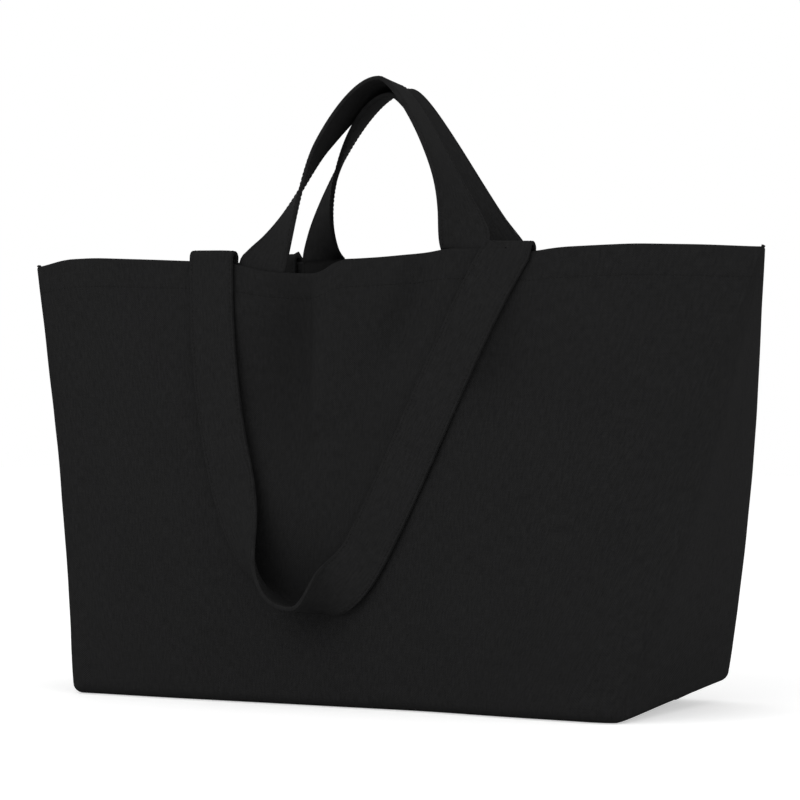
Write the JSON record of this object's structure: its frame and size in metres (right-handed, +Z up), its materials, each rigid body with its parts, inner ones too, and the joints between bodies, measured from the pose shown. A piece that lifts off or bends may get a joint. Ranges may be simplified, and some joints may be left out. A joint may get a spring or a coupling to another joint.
{
  "type": "canvas tote bag",
  "caption": "Black canvas tote bag with a boxed base, short handles for the hand and long shoulder straps that fold over the hem and hang outside.",
  "frame": {"origin": "middle of the base, on the surface that the bag stands on", "axes": "+X along the mouth to the right as seen from the front, +Y from front to back, +Z up"},
  "size_m": [0.55, 0.2184, 0.4184],
  "materials": {
    "bag_canvas": "black plain-weave cotton canvas, matt",
    "strap_canvas": "black canvas strap, folded and topstitched along both edges",
    "seam_canvas": "black canvas seam allowance with an overlocked edge"
  },
  "bodies": {
    "bag": {"front_panel": "bag_canvas", "back_panel": "bag_canvas", "front_hem": "bag_canvas", "back_hem": "bag_canvas", "left_side_seam": "seam_canvas", "right_side_seam": "seam_canvas", "left_corner_seam": "seam_canvas", "right_corner_seam": "seam_canvas", "base_seam": "seam_canvas", "front_grab_handle_ends": "strap_canvas", "back_grab_handle_ends": "strap_canvas", "front_shoulder_strap_ends": "strap_canvas", "back_shoulder_strap_ends": "strap_canvas", "front_shoulder_strap_folds": "strap_canvas", "back_shoulder_strap_folds": "strap_canvas"},
    "front_grab": {"front_grab_handle": "strap_canvas"},
    "back_grab": {"back_grab_handle": "strap_canvas"},
    "front_shoulder": {"front_shoulder_strap": "strap_canvas"},
    "back_shoulder": {"back_shoulder_strap": "strap_canvas"}
  },
  "joints": [
    {"name": "front_grab_fold", "type": "hinge", "parent": "bag", "child": "front_grab", "pos_m": [0, -0.0432, 0.298], "axis": [1, 0, 0], "range_deg": [0, 165]},
    {"name": "back_grab_fold", "type": "hinge", "parent": "bag", "child": "back_grab", "pos_m": [0, 0.0432, 0.298], "axis": [-1, 0, 0], "range_deg": [0, 165]},
    {"name": "front_shoulder_lift", "type": "hinge", "parent": "bag", "child": "front_shoulder", "pos_m": [0, -0.0432, 0.298], "axis": [-1, 0, 0], "range_deg": [0, 170], "deforming": ["front_shoulder_strap_folds"]},
    {"name": "back_shoulder_lift", "type": "hinge", "parent": "bag", "child": "back_shoulder", "pos_m": [0, 0.0432, 0.298], "axis": [1, 0, 0], "range_deg": [0, 170], "deforming": ["back_shoulder_strap_folds"]}
  ]
}
